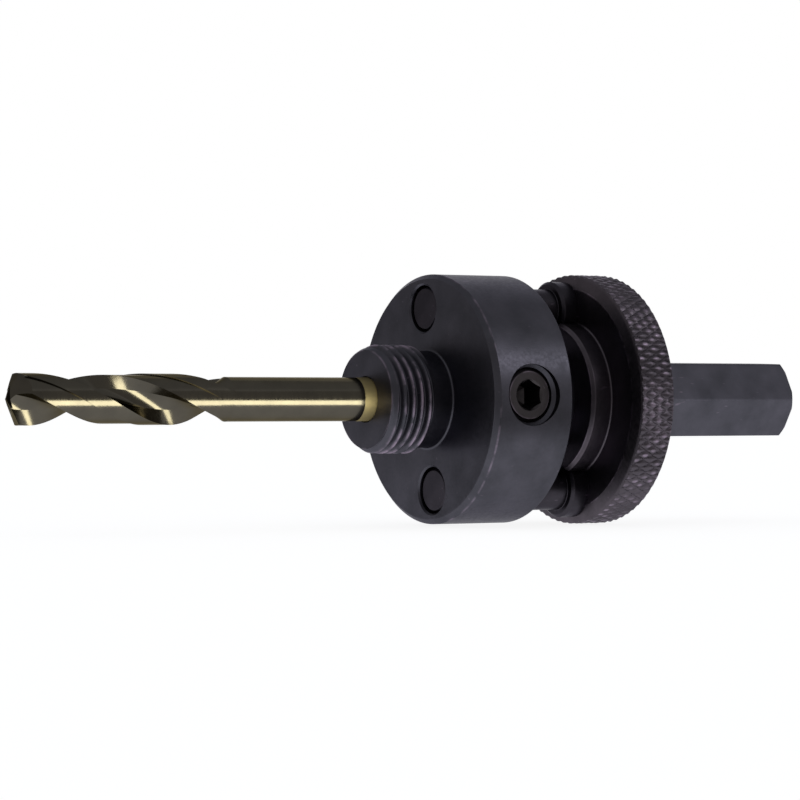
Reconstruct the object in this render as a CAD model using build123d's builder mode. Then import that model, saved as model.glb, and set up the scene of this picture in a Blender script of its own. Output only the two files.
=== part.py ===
from build123d import *
from math import cos, radians, sin, tan
import os

# The arbor lies along X: the drill's tip points to -X and the hexagonal shank to +X.
# The origin is the centre of the flange's front face, where the hole saw seats.
# Angles round the axis start at +Y and turn towards +Z. All sizes are in millimetres.

# Threaded nose and flange
thread_diameter = 15.88
nose_length = 10.7
nose_chamfer_length = 1.3
nose_chamfer_depth = 0.75
relief_diameter = 14.2
relief_length = 3.45
relief_fillet = 0.5
flange_rim_wall = 1.5
flange_thickness = 13.4
flange_front_chamfer = 0.7
flange_rear_chamfer = 0.4

# Neck and hexagonal shank
neck_diameter = 14.4
neck_chamfer = 0.8
hex_across_flats = 11.11
hex_turn = 1.5
shank_end = 64.1
shank_end_diameter = 11.6
shank_chamfer_angle = 40
shank_chamfer_clearance = 1.0

# Pilot drill
drill_shank_diameter = 6.35
drill_reach = 68.5
drill_end = 14.05
drill_body_diameter = 7.2
land_clearance = 0.2
flute_lead = 44.0
flute_length = 34.3
flute_width_angle = 94
flute_runout = 9.5
body_taper_length = 4.5
web_thickness = 1.6
margin_angle = 36
flute_start_angle = 14.75
point_angle = 135
lip_relief_angle = 12
heel_relief_angle = 38
heel_relief_depth = 0.25
lip_lag_angle = 13
split_notch_depth = 0.9
split_notch_angle = 42
split_notch_reach = 1.3
split_web = 0.24
drill_end_chamfer = 0.4
drill_fit = 0.025
bore_floor_gap = 0.5
bore_point_angle = 118

# Set screw in the flange's rim
screw_diameter = 7.9
screw_position = 6.45
screw_turn = 2.1
screw_recess = 1.3
screw_chamfer = 0.5
screw_cup_diameter = 4.6
screw_cup_depth = 1.2
screw_point_chamfer = 1.0
screw_fit = 0.04
screw_tip_gap = 0.02
screw_mouth_diameter = 9.0
socket_across_flats = 3.97
socket_depth = 4.2
socket_mouth_chamfer = 0.3

# Pin ring
ring_overhang = 0.4
ring_thickness = 7.1
ring_front_chamfer_length = 0.75
ring_front_chamfer_depth = 1.15
ring_crest_rise_length = 0.3
ring_crest_height = 0.5
ring_rear_chamfer_length = 1.1
ring_rear_chamfer_depth = 1.45
boss_diameter = 23.4
boss_height = 3.5
boss_chamfer = 0.9
boss_fillet = 0.5
boss_gap = 8.2
ring_fit = 0.05
ring_bore_chamfer = 0.4

# Drive pins
pin_diameter = 6.35
pin_circle_diameter = 26.8
pin_turn = 5.1
pin_end_recess = 0.4
pin_end_chamfer = 0.25
pin_hole_diameter = 6.9
pin_hole_chamfer = 0.25
pin_shoulder_diameter = 8.7
pin_shoulder_height = 2.8
pin_shoulder_chamfer = 0.4
pin_tail_diameter = 6.0
pin_tail_recess = 0.3
pin_tail_fit = 0.01
pin_seat_clearance = 0.08

# Square-cut rubber ring in the pin ring's bore, and the retaining ring behind it
grip_ring_height = 1.5
grip_ring_width = 1.7
grip_ring_position = 3.9
grip_ring_fit = 0.03
grip_groove_width = 1.8
snap_ring_thickness = 1.2
snap_ring_width = 1.7
snap_groove_depth = 0.5
snap_fit = 0.02
snap_side_fit = 0.04
snap_gap = 0.05
snap_opening_angle = 70
snap_opening_turn = 0
snap_end_fillet = 0.5
neck_past_snap_ring = 1.4

# Places along the axis that several pieces share
boss_front = flange_thickness + boss_gap
ring_face = boss_front + boss_height
ring_back = ring_face + ring_thickness
snap_groove_start = ring_back + snap_gap - snap_side_fit
snap_groove_end = ring_back + snap_gap + snap_ring_thickness + snap_side_fit
neck_end = snap_groove_end + neck_past_snap_ring
pin_front = pin_end_recess
pin_shoulder_front = ring_face - pin_shoulder_height

# Radii that several pieces share
flange_radius = (pin_circle_diameter + pin_hole_diameter) / 2 + flange_rim_wall
ring_radius = flange_radius + ring_overhang
ring_shoulder_radius = ring_radius - ring_crest_height
ring_face_radius = ring_shoulder_radius - ring_front_chamfer_depth
neck_radius = neck_diameter / 2
ring_bore_radius = neck_radius + ring_fit
drill_bore_radius = drill_shank_diameter / 2 + drill_fit
screw_hole_radius = screw_diameter / 2 + screw_fit
pin_circle_radius = pin_circle_diameter / 2
pin_angle = 90 - pin_turn
screw_tip = drill_shank_diameter / 2 + screw_tip_gap
screw_face = flange_radius - screw_recess
screw_axis = Axis((screw_position, 0, 0), (0, -cos(radians(screw_turn)), sin(radians(screw_turn))))

# How closely an edge has to match a radius to be picked by it
radius_tolerance = 0.001


def across(position):
    """The plane square to the arbor's axis at a place along it, with its own X along +Y."""
    return Plane(origin=(position, 0, 0), x_dir=(0, 1, 0), z_dir=(1, 0, 0))


def screw_plane(distance):
    """The plane square to the set screw's axis, at a distance from the arbor's axis."""
    outwards = screw_axis.direction
    return Plane(origin=screw_axis.position + outwards * distance, x_dir=(1, 0, 0), z_dir=outwards)


# Arbor body: one turned piece with a milled hexagon
hex_corner_radius = hex_across_flats / 2 / cos(radians(30))
shank_end_radius = shank_end_diameter / 2
shank_chamfer_rise = hex_corner_radius + shank_chamfer_clearance - shank_end_radius
shank_chamfer_run = shank_chamfer_rise * tan(radians(shank_chamfer_angle))
snap_groove_radius = neck_radius - snap_groove_depth
bore_depth = nose_length + drill_end + bore_floor_gap
bore_point_depth = drill_bore_radius / tan(radians(bore_point_angle / 2))

with BuildPart() as arbor_body:
    with BuildSketch(Plane.XY):
        with BuildLine():
            nose_face_radius = thread_diameter / 2 - nose_chamfer_depth
            FilletPolyline(
                (-relief_length, thread_diameter / 2),
                (-relief_length, relief_diameter / 2),
                (0, relief_diameter / 2),
                (0, flange_radius - flange_front_chamfer),
                radius=relief_fillet,
            )
            Polyline(
                (0, flange_radius - flange_front_chamfer),
                (flange_front_chamfer, flange_radius),
                (flange_thickness - flange_rear_chamfer, flange_radius),
                (flange_thickness, flange_radius - flange_rear_chamfer),
                (flange_thickness, neck_radius),
                (snap_groove_start, neck_radius),
                (snap_groove_start, snap_groove_radius),
                (snap_groove_end, snap_groove_radius),
                (snap_groove_end, neck_radius),
                (neck_end - neck_chamfer, neck_radius),
                (neck_end, neck_radius - neck_chamfer),
                (neck_end, 0),
                (-nose_length, 0),
                (-nose_length, nose_face_radius),
                (-nose_length + nose_chamfer_length, thread_diameter / 2),
                (-relief_length, thread_diameter / 2),
            )
        make_face()
    revolve(axis=Axis.X)

    with BuildSketch(across(neck_end)):
        RegularPolygon(radius=hex_corner_radius, side_count=6, rotation=hex_turn)
    extrude(amount=shank_end - neck_end)
    with BuildSketch(Plane.XY):
        with BuildLine():
            Polyline(
                (shank_end, shank_end_radius),
                (shank_end, shank_end_radius + shank_chamfer_rise),
                (shank_end - shank_chamfer_run, shank_end_radius + shank_chamfer_rise),
                close=True,
            )
        make_face()
    revolve(axis=Axis.X, mode=Mode.SUBTRACT)

    with BuildSketch(Plane.XY):
        with BuildLine():
            Polyline(
                (-nose_length, 0),
                (-nose_length, drill_bore_radius),
                (-nose_length + bore_depth, drill_bore_radius),
                (-nose_length + bore_depth + bore_point_depth, 0),
                close=True,
            )
        make_face()
    revolve(axis=Axis.X, mode=Mode.SUBTRACT)

    with BuildSketch(across(0)):
        with PolarLocations(pin_circle_radius, 2, start_angle=pin_angle):
            Circle(pin_hole_diameter / 2)
    extrude(amount=flange_thickness, mode=Mode.SUBTRACT)
    pin_hole_mouths = (
        arbor_body.edges()
        .filter_by(GeomType.CIRCLE)
        .filter_by(lambda edge: abs(edge.radius - pin_hole_diameter / 2) < radius_tolerance)
    )
    chamfer(pin_hole_mouths, length=pin_hole_chamfer)

    with BuildSketch(screw_plane(0)):
        Circle(screw_hole_radius)
    extrude(amount=flange_radius, mode=Mode.SUBTRACT)
    mouth_depth = screw_mouth_diameter / 2 - screw_hole_radius
    with BuildSketch(screw_plane(flange_radius - mouth_depth)):
        Circle(screw_hole_radius)
    extrude(amount=2 * mouth_depth, taper=-45, mode=Mode.SUBTRACT)
arbor_body.part.label = "arbor_body"


# Pilot drill: its section is carried along the helix, and the flutes run out in a long curve
body_radius = drill_body_diameter / 2
shank_radius = drill_shank_diameter / 2
web_radius = web_thickness / 2
flute_half_angle = flute_width_angle / 2
flute_centre = (body_radius**2 - web_radius**2) / (
    2 * body_radius * cos(radians(flute_half_angle)) - 2 * web_radius
)
flute_radius = flute_centre - web_radius
twist_start = -drill_reach
flutes_end = twist_start + flute_length
degrees_per_mm = 360 / flute_lead
land_angle = flute_start_angle + 90
leading_angle = land_angle - (90 - flute_half_angle)


def from_axis(radius, angle):
    """A point in the section's own plane, at an angle round the drill's axis."""
    return (radius * cos(radians(angle)), radius * sin(radians(angle)))


with BuildSketch(across(twist_start)) as drill_section:
    Circle(body_radius)
    for half_turn in (0, 180):
        clearance_start = leading_angle + margin_angle + half_turn
        with BuildLine():
            relieved_land = CenterArc(
                (0, 0), body_radius - land_clearance, clearance_start, 180 - flute_half_angle - margin_angle
            )
            Polyline(
                relieved_land @ 1,
                from_axis(2 * body_radius, clearance_start + 180 - flute_half_angle - margin_angle),
                from_axis(2 * body_radius, clearance_start),
                relieved_land @ 0,
            )
        make_face(mode=Mode.SUBTRACT)
    with PolarLocations(flute_centre, 2, start_angle=flute_start_angle):
        Circle(flute_radius, mode=Mode.SUBTRACT)

twisted_flutes = Solid.extrude_linear_with_rotation(
    drill_section.sketch.faces()[0],
    (twist_start, 0, 0),
    (flute_length, 0, 0),
    flute_length * degrees_per_mm,
)

lip_angle = leading_angle + lip_lag_angle
lip_slope = tan(radians(90 - point_angle / 2))


def point_facet(angle, along_lip, behind_lip, depth):
    """A plane across the point, a depth ahead of the tip, that falls away along the lip and behind it."""
    along = (cos(radians(angle)), sin(radians(angle)))
    ahead = (sin(radians(angle)), -cos(radians(angle)))
    normal = (1, *(behind_lip * ahead[i] - along_lip * along[i] for i in (0, 1)))
    return Plane(origin=(twist_start - depth, 0, 0), z_dir=normal)


with BuildPart() as pilot_drill:
    add(twisted_flutes)
    with BuildSketch(Plane.XY):
        with BuildLine():
            Polyline(
                (twist_start, 0),
                (twist_start, body_radius),
                (flutes_end - body_taper_length, body_radius),
                (flutes_end, shank_radius),
                (flutes_end, 0),
                close=True,
            )
        make_face()
    revolve(axis=Axis.X, mode=Mode.INTERSECT)
    with BuildSketch(Plane.XY):
        with BuildLine():
            TangentArc(
                (flutes_end - flute_runout, web_radius / 2),
                (flutes_end, shank_radius),
                tangent=(1, 0),
            )
            Polyline(
                (flutes_end, shank_radius),
                (drill_end - drill_end_chamfer, shank_radius),
                (drill_end, shank_radius - drill_end_chamfer),
                (drill_end, 0),
                (flutes_end - flute_runout, 0),
                (flutes_end - flute_runout, web_radius / 2),
            )
        make_face()
    revolve(axis=Axis.X)
    for half_turn in (0, 180):
        lip = point_facet(lip_angle + half_turn, lip_slope, tan(radians(lip_relief_angle)), 0)
        split(bisect_by=lip, keep=Keep.TOP)
        heel = point_facet(
            lip_angle + half_turn, lip_slope / 2, tan(radians(heel_relief_angle)), heel_relief_depth
        )
        split(bisect_by=heel, keep=Keep.TOP)
    for half_turn in (0, 180):
        along = Vector(0, cos(radians(lip_angle + half_turn)), sin(radians(lip_angle + half_turn)))
        ahead = along.cross(Vector(1, 0, 0))
        notch_start = Vector(twist_start, 0, 0) + along * split_notch_reach + ahead * (split_web / 2)
        with BuildSketch(Plane(origin=notch_start, x_dir=ahead, z_dir=-along)):
            with BuildLine():
                Polyline(
                    (0, -split_notch_depth),
                    (0, split_notch_depth),
                    (2 * split_notch_depth / tan(radians(split_notch_angle)), -split_notch_depth),
                    close=True,
                )
            make_face()
        extrude(amount=split_notch_reach + body_radius, mode=Mode.SUBTRACT)
pilot_drill.part.label = "pilot_drill"


# Set screw: cup point, flat face and hexagonal socket
with BuildPart() as set_screw:
    with BuildSketch(screw_plane(screw_tip)):
        Circle(screw_diameter / 2)
    extrude(amount=screw_face - screw_tip)
    chamfer(set_screw.edges().group_by(screw_axis)[-1], length=screw_chamfer)
    chamfer(set_screw.edges().group_by(screw_axis)[0], length=screw_point_chamfer)
    with BuildSketch(screw_plane(screw_tip)):
        Circle(screw_cup_diameter / 2)
    extrude(amount=screw_cup_depth, taper=45, mode=Mode.SUBTRACT)
    with BuildSketch(screw_plane(screw_face)):
        RegularPolygon(radius=socket_across_flats / 2, side_count=6, major_radius=False, rotation=30)
    extrude(amount=-socket_depth, mode=Mode.SUBTRACT)
    with BuildSketch(screw_plane(screw_face - socket_mouth_chamfer)):
        Circle(socket_across_flats / 2)
    extrude(amount=2 * socket_mouth_chamfer, taper=-45, mode=Mode.SUBTRACT)
set_screw.part.label = "set_screw"


# Pin ring: boss, flat face, knurled band and rear chamfer, turned as one piece
pin_seat_radius = pin_shoulder_diameter / 2 + pin_seat_clearance
pin_tail_hole_radius = pin_tail_diameter / 2 + pin_tail_fit
grip_ring_radius = neck_radius + grip_ring_fit
grip_groove_radius = grip_ring_radius + grip_ring_height + grip_ring_fit
grip_ring_centre = ring_face + grip_ring_position

with BuildPart() as pin_ring:
    with BuildSketch(Plane.XY):
        with BuildLine():
            FilletPolyline(
                (boss_front + boss_chamfer, boss_diameter / 2),
                (ring_face, boss_diameter / 2),
                (ring_face, ring_face_radius),
                radius=boss_fillet,
            )
            Polyline(
                (ring_face, ring_face_radius),
                (ring_face + ring_front_chamfer_length, ring_shoulder_radius),
                (ring_face + ring_front_chamfer_length + ring_crest_rise_length, ring_radius),
                (ring_back - ring_rear_chamfer_length, ring_radius),
                (ring_back, ring_radius - ring_rear_chamfer_depth),
                (ring_back, ring_bore_radius + ring_bore_chamfer),
                (ring_back - ring_bore_chamfer, ring_bore_radius),
                (grip_ring_centre + grip_groove_width / 2, ring_bore_radius),
                (grip_ring_centre + grip_groove_width / 2, grip_groove_radius),
                (grip_ring_centre - grip_groove_width / 2, grip_groove_radius),
                (grip_ring_centre - grip_groove_width / 2, ring_bore_radius),
                (boss_front, ring_bore_radius),
                (boss_front, boss_diameter / 2 - boss_chamfer),
                (boss_front + boss_chamfer, boss_diameter / 2),
            )
        make_face()
    revolve(axis=Axis.X)
    with BuildSketch(across(boss_front)):
        with PolarLocations(pin_circle_radius, 2, start_angle=pin_angle):
            Circle(pin_seat_radius)
    extrude(amount=boss_height, mode=Mode.SUBTRACT)
    with BuildSketch(across(ring_face)):
        with PolarLocations(pin_circle_radius, 2, start_angle=pin_angle):
            Circle(pin_tail_hole_radius)
    extrude(amount=ring_thickness, mode=Mode.SUBTRACT)
pin_ring.part.label = "pin_ring"


# Drive pins: shank through the flange, shoulder on the ring's face, tail pressed into the ring
def drive_pin_outline():
    """Half of a drive pin's section, from its own axis outwards."""
    pin_radius = pin_diameter / 2
    shoulder_radius = pin_shoulder_diameter / 2
    tail_end = ring_back - pin_tail_recess
    Polyline(
        (pin_front, 0),
        (pin_front, pin_radius - pin_end_chamfer),
        (pin_front + pin_end_chamfer, pin_radius),
        (pin_shoulder_front, pin_radius),
        (pin_shoulder_front, shoulder_radius - pin_shoulder_chamfer),
        (pin_shoulder_front + pin_shoulder_chamfer, shoulder_radius),
        (ring_face, shoulder_radius),
        (ring_face, pin_tail_diameter / 2),
        (tail_end - pin_end_chamfer, pin_tail_diameter / 2),
        (tail_end, pin_tail_diameter / 2 - pin_end_chamfer),
        (tail_end, 0),
        close=True,
    )


upper_pin_centre = (0, *from_axis(pin_circle_radius, pin_angle))
lower_pin_centre = (0, *from_axis(pin_circle_radius, pin_angle + 180))

with BuildPart() as drive_pin_upper:
    with BuildSketch(Plane(origin=upper_pin_centre)):
        with BuildLine():
            drive_pin_outline()
        make_face()
    revolve(axis=Axis(upper_pin_centre, (1, 0, 0)))
drive_pin_upper.part.label = "drive_pin_upper"

with BuildPart() as drive_pin_lower:
    with BuildSketch(Plane(origin=lower_pin_centre)):
        with BuildLine():
            drive_pin_outline()
        make_face()
    revolve(axis=Axis(lower_pin_centre, (1, 0, 0)))
drive_pin_lower.part.label = "drive_pin_lower"


# Square-cut rubber ring that grips the neck
with BuildPart() as grip_ring:
    with BuildSketch(across(grip_ring_centre - grip_ring_width / 2)):
        Circle(grip_ring_radius + grip_ring_height)
        Circle(grip_ring_radius, mode=Mode.SUBTRACT)
    extrude(amount=grip_ring_width)
grip_ring.part.label = "grip_ring"


# Flat retaining ring in the neck's groove, the pin ring's rear stop
snap_inner_radius = snap_groove_radius + snap_fit
snap_outer_radius = snap_inner_radius + snap_ring_width

with BuildPart() as snap_ring:
    with BuildSketch(across(ring_back + snap_gap)):
        Circle(snap_outer_radius)
        Circle(snap_inner_radius, mode=Mode.SUBTRACT)
        with BuildLine():
            Polyline(
                (0, 0),
                from_axis(2 * snap_outer_radius, snap_opening_turn - snap_opening_angle / 2),
                from_axis(2 * snap_outer_radius, snap_opening_turn + snap_opening_angle / 2),
                close=True,
            )
        make_face(mode=Mode.SUBTRACT)
    extrude(amount=snap_ring_thickness)
    fillet(snap_ring.edges().filter_by(Axis.X), radius=snap_end_fillet)
snap_ring.part.label = "snap_ring"


os.makedirs("parts", exist_ok=True)
export_step(arbor_body.part, "parts/arbor_body.step")
export_step(pilot_drill.part, "parts/pilot_drill.step")
export_step(set_screw.part, "parts/set_screw.step")
export_step(pin_ring.part, "parts/pin_ring.step")
export_step(drive_pin_upper.part, "parts/drive_pin_upper.step")
export_step(drive_pin_lower.part, "parts/drive_pin_lower.step")
export_step(grip_ring.part, "parts/grip_ring.step")
export_step(snap_ring.part, "parts/snap_ring.step")
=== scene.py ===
import math

import bmesh
import bpy
import numpy as np
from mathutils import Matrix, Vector


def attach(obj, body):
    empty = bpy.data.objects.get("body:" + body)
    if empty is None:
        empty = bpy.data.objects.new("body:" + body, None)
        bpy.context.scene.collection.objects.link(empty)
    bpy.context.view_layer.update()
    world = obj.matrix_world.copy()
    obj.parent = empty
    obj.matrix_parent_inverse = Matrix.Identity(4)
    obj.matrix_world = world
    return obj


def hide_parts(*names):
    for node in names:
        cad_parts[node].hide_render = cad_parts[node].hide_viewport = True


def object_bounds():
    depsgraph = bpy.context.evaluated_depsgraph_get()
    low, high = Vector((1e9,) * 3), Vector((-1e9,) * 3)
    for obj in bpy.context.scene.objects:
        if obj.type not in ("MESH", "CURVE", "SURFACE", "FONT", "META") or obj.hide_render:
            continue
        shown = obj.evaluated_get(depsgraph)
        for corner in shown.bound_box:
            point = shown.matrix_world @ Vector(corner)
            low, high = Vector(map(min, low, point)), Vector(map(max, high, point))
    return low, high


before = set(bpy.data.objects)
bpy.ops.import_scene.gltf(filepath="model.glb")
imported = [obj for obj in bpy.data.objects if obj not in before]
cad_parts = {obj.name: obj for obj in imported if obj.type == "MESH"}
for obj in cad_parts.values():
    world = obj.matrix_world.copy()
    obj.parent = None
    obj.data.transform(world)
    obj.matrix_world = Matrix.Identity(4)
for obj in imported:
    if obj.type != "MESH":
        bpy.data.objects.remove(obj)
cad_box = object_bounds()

# The arbor lies along X: the drill's tip points to -X and the hexagonal shank to +X.
# The origin is the centre of the flange's front face. Sizes are in millimetres, and each
# finished mesh is in metres. Angles round the axis start at +Y and turn towards +Z.
MM = 0.001
FULL_TURN = 2 * math.pi

# Columns of points round a turned surface, one each 1.5 degrees, which the hexagon's corners fall
# on. Holes, pins and the socket use every other one
COLUMNS = 240
ROUND = np.linspace(0, FULL_TURN, COLUMNS + 1)

# Steps of a rounded edge, and how far from its edges a flat side gets a point that holds it flat
ARC_STEPS = 4
EDGE_HOLD = 0.12

# Points closer than the weld, in metres, become one. Edges over the sharp angle show as edges. A
# cutting tool reaches beyond what it cuts
WELD = 1e-6
SHARP_ANGLE = math.radians(32)
BEYOND = 1.0

# Threaded nose and flange
NOSE_LENGTH = 10.7
NOSE_FACE_RADIUS = 7.19
NOSE_CHAMFER_LENGTH = 1.3
THREAD_RADIUS = 7.94
THREAD_ROOT_RADIUS = 7.12
THREAD_PITCH = 1.411
RELIEF_RADIUS = 7.1
RELIEF_LENGTH = 3.45
RELIEF_FILLET = 0.3
FLANGE_RADIUS = 18.35
FLANGE_THICKNESS = 13.4
FLANGE_FRONT_CHAMFER = 0.7
FLANGE_REAR_CHAMFER = 0.4
EDGE_RADIUS = 0.12
BORE_RADIUS = 3.2
BORE_END = 14.55
BORE_POINT = 1.92
BORE_MOUTH = 0.2

# Neck and hexagonal shank
NECK_RADIUS = 7.2
NECK_CHAMFER = 0.8
SNAP_GROOVE_START = 32.21
SNAP_GROOVE_END = 33.49
SNAP_GROOVE_RADIUS = 6.7
NECK_END = 34.89
HEX_FLAT_RADIUS = 5.555
HEX_CORNER_ROUNDING = 0.15
HEX_TURN = math.radians(1.5)
SHANK_END = 64.1
SHANK_END_RADIUS = 5.8
SHANK_CHAMFER_ANGLE = math.radians(40)
SHANK_ROWS = 9

# Set screw and its hole
SCREW_POSITION = 6.45
SCREW_TURN = math.radians(2.1)
SCREW_HOLE_RADIUS = 3.99
SCREW_MOUTH_RADIUS = 4.475
SCREW_MOUTH_DEPTH = 1.0
SCREW_RADIUS = 3.95
SCREW_ROOT_RADIUS = 3.35
SCREW_PITCH = 1.411
SCREW_TIP = 3.195
SCREW_FACE = 17.05
SCREW_CHAMFER = 0.5
SCREW_POINT_CHAMFER = 1.0
SCREW_CUP_RADIUS = 2.3
SCREW_CUP_DEPTH = 1.2
SOCKET_FLAT_RADIUS = 1.985
SOCKET_DEPTH = 4.2
SOCKET_CHAMFER = 0.3

# Drive pins and their holes
PIN_RADIUS = 3.175
PIN_CIRCLE_RADIUS = 13.4
PIN_ANGLE = math.radians(84.9)
PIN_FRONT = 0.4
PIN_END_CHAMFER = 0.25
PIN_HOLE_RADIUS = 3.45
PIN_HOLE_CHAMFER = 0.25
PIN_SHOULDER_RADIUS = 4.35
PIN_SHOULDER_FRONT = 22.3
PIN_SHOULDER_CHAMFER = 0.4
PIN_TAIL_RADIUS = 3.0
PIN_TAIL_END = 31.9
PIN_TAIL_HOLE_RADIUS = 3.01
PIN_SEAT_RADIUS = 4.43

# Pin ring
BOSS_FRONT = 21.6
BOSS_RADIUS = 11.7
BOSS_CHAMFER = 0.5
BOSS_FILLET = 0.3
RING_FACE = 25.1
RING_BACK = 32.2
RING_FACE_RADIUS = 16.6
RING_SHOULDER_RADIUS = 18.25
RING_RADIUS = 18.75
RING_BLANK_RADIUS = 19.0
RING_FRONT_CHAMFER = 0.4
RING_CREST_RISE = 0.2
RING_REAR_CHAMFER = 1.1
RING_REAR_FACE_RADIUS = 17.3
RING_BORE_RADIUS = 7.25
RING_BORE_CHAMFER = 0.4
GRIP_GROOVE_START = 28.1
GRIP_GROOVE_END = 29.9
GRIP_GROOVE_RADIUS = 8.76

# Diamond knurl: 76 teeth make a pitch of 1.55 mm round the rim, and its grooves lie 30 degrees
# from the axis. The steps are those of one tooth, and the shift is a share of one
KNURL_TEETH = 76
KNURL_ANGLE = math.radians(30)
KNURL_DEPTH = 0.27
KNURL_FULLNESS = 0.65
KNURL_STEPS = 8
KNURL_SHIFT = 0.0375
KNURL_START = 24.7
KNURL_END = 32.9

# Pilot drill
DRILL_TIP = -68.5
DRILL_END = 14.05
DRILL_BLANK_START = -70.1
DRILL_SHANK_RADIUS = 3.175
DRILL_BODY_RADIUS = 3.6
DRILL_CLEARANCE_RADIUS = 3.4
DRILL_END_CHAMFER = 0.4
FLUTE_LEAD = 44.0
FLUTES_END = -34.2
FLUTE_ROWS = 190
FLUTE_START_ANGLE = math.radians(14.75)
FLUTE_HALF_ANGLE = math.radians(47)
MARGIN_ANGLE = math.radians(36)
FLUTE_RUNOUT = 9.5
BODY_TAPER_LENGTH = 4.5
# A paler, duller band of the drill from here to the nose
NOSE_BAND_START = -12.7
NOSE_BAND_FADE = 0.15
WEB_RADIUS = 0.8
RUNOUT_START_RADIUS = 0.4
POINT_ANGLE = math.radians(135)
LIP_LAG_ANGLE = math.radians(13)
LIP_RELIEF_ANGLE = math.radians(12)
HEEL_RELIEF_ANGLE = math.radians(38)
HEEL_RELIEF_DEPTH = 0.25
NOTCH_DEPTH = 0.9
NOTCH_ANGLE = math.radians(42)
NOTCH_REACH = 1.3
SPLIT_WEB = 0.24

# Blackened steel: rings left by the tool, clouds and grain of the oxide, how far a painted
# highlight with wear reaches from an edge, patches that break it up, scuffs, and between which
# radii the crests of thread and knurl get a painted glint with wear. The rings are drawn as coarse
# as they need to be to show
TOOL_RING_WIDTH = 0.35
TOOL_RING_DEPTH = 0.004
CLOUD_SIZE = 5.0
GRAIN_SIZE = 0.5
EDGE_GLINT_AND_WEAR = 0.22
GLINT_AND_WEAR_PATCH_SIZE = 2.5
SCUFF_LENGTH = 2.4
SCUFF_WIDTH = 0.7
THREAD_CREST_GLINT_AND_WEAR = (7.6, 7.88)
KNURL_CREST_GLINT_AND_WEAR = (RING_RADIUS - 0.09, RING_RADIUS - 0.01)

# Drill steel: patches of its oxide, and rings left by the grinding wheel, as coarse as they need
# to be to show
OXIDE_SIZE = 3.0
GRIND_RING_WIDTH = 0.3
GRIND_RING_LENGTH = 2.0
GRIND_RING_DEPTH = 0.003

# Moulded grain of the rubber
RUBBER_GRAIN_SIZE = 0.2
RUBBER_GRAIN_DEPTH = 0.01

# Floor and surround, where a brightness of 1 is white. The surround turns grey between two heights
# of a ray's direction, from 0, level, to 1, straight up
FLOOR_RADIUS = 4000
FLOOR_PAINT = (0.35, 0.35, 0.35, 1)
FLOOR_GLOW = 0.87
SURROUND_FADE = (0.3, 0.75)
OVERHEAD_GREY = 0.36
AMBIENT_COLOUR = (0.9, 0.93, 1, 1)
AMBIENT_LIGHT = 0.4

# Grey cards round the object, which only its metal reflects. The arc is in degrees from +X
CARD_COLOUR = (0.31, 0.3, 0.29, 1)
CARD_ARC = (95, 318)
CARD_STEPS = 60
CARD_DISTANCE = 260
CARD_TOP = 200
CARD_NEAR_EDGE = 38
CARD_LIFT = 0.3

# Camera: the photograph's, 57 degrees from the arbor's axis and level with it
VIEW_DIRECTION = Vector((-0.541, -0.841, 0)).normalized()
VIEW_TARGET = Vector((-4.7, 0, -0.1))
VIEW_DISTANCE = 504
LENS_LENGTH = 155.3
SENSOR_WIDTH = 36


def turned(profile):
    """A turned surface: each point (x, radius) of the profile is carried once round the axis."""
    profile = np.array(profile, float)
    along = np.repeat(profile[:, :1], ROUND.size, axis=1)
    radius = np.repeat(profile[:, 1:], ROUND.size, axis=1)
    return polar(along, radius, ROUND)


def polar(along, radius, angle):
    """Points at a place along the axis, a radius and an angle, as (x, radius cos, radius sin)."""
    along, radius, angle = np.broadcast_arrays(along, radius, angle)
    return np.stack([along, radius * np.cos(angle), radius * np.sin(angle)], axis=-1)


def rounded(corners):
    """A profile through corners (x, radius, rounding).

    A corner with a rounding becomes an arc that touches both of its sides, and each long side gets
    a point close to each of its ends, which keeps the shading of a flat face flat.
    """
    corners = [(Vector(corner[:2]), corner[2]) for corner in corners]
    points = []
    for number, (corner, rounding) in enumerate(corners):
        if rounding == 0 or number in (0, len(corners) - 1):
            points.append(corner)
            continue
        back = (corners[number - 1][0] - corner).normalized()
        ahead = (corners[number + 1][0] - corner).normalized()
        half = back.angle(ahead) / 2
        centre = corner + (back + ahead).normalized() * rounding / math.sin(half)
        first = corner + back * rounding / math.tan(half) - centre
        turn = first.angle_signed(corner + ahead * rounding / math.tan(half) - centre)
        for step in range(ARC_STEPS + 1):
            angle = -turn * step / ARC_STEPS
            points.append(centre + Vector((
                first.x * math.cos(angle) - first.y * math.sin(angle),
                first.x * math.sin(angle) + first.y * math.cos(angle),
            )))
    held = [points[0]]
    for start, end in zip(points, points[1:]):
        side = end - start
        if side.length > 4 * EDGE_HOLD:
            held += [start + side.normalized() * EDGE_HOLD, end - side.normalized() * EDGE_HOLD]
        held.append(end)
    return [tuple(point) for point in held]


def threaded(start, end, pitch, crest, root, limit):
    """A right-hand thread between two places on the axis.

    Each row follows the helix, so crest and root lie on rows: x = start + pitch * (row + turn).
    Rows are clipped at both ends. The height over the root is a triangle wave of the phase,
    pressed flat at crest and root by u / (1 + |u|^6)^(1/6), and no point lies outside the limit.
    """
    rows_per_pitch = 16
    steepness = 1.5
    softness = 6
    turns = ROUND / FULL_TURN
    rows = np.arange((math.ceil((end - start) / pitch) + 1) * rows_per_pitch + 1)[:, None]
    along = np.clip(start + pitch * (rows / rows_per_pitch - 1 + turns), start, end)
    phase = (along - start) / pitch - turns
    wave = steepness * (4 * np.abs(phase - np.floor(phase) - 0.5) - 1)
    pressed = wave / (1 + np.abs(wave) ** softness) ** (1 / softness)
    top = steepness / (1 + steepness ** softness) ** (1 / softness)
    radius = root + (crest - root) * (1 + pressed / top) / 2
    return polar(along, np.minimum(radius, limit(along)), ROUND)


def placed(points, origin, along, side):
    """Points turned, so that their X lies along one direction and their Y to a side, then moved."""
    along, side = Vector(along).normalized(), Vector(side).normalized()
    up = along.cross(side)
    return np.asarray(points) @ np.array([along, side, up]) + np.array(origin)


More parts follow.
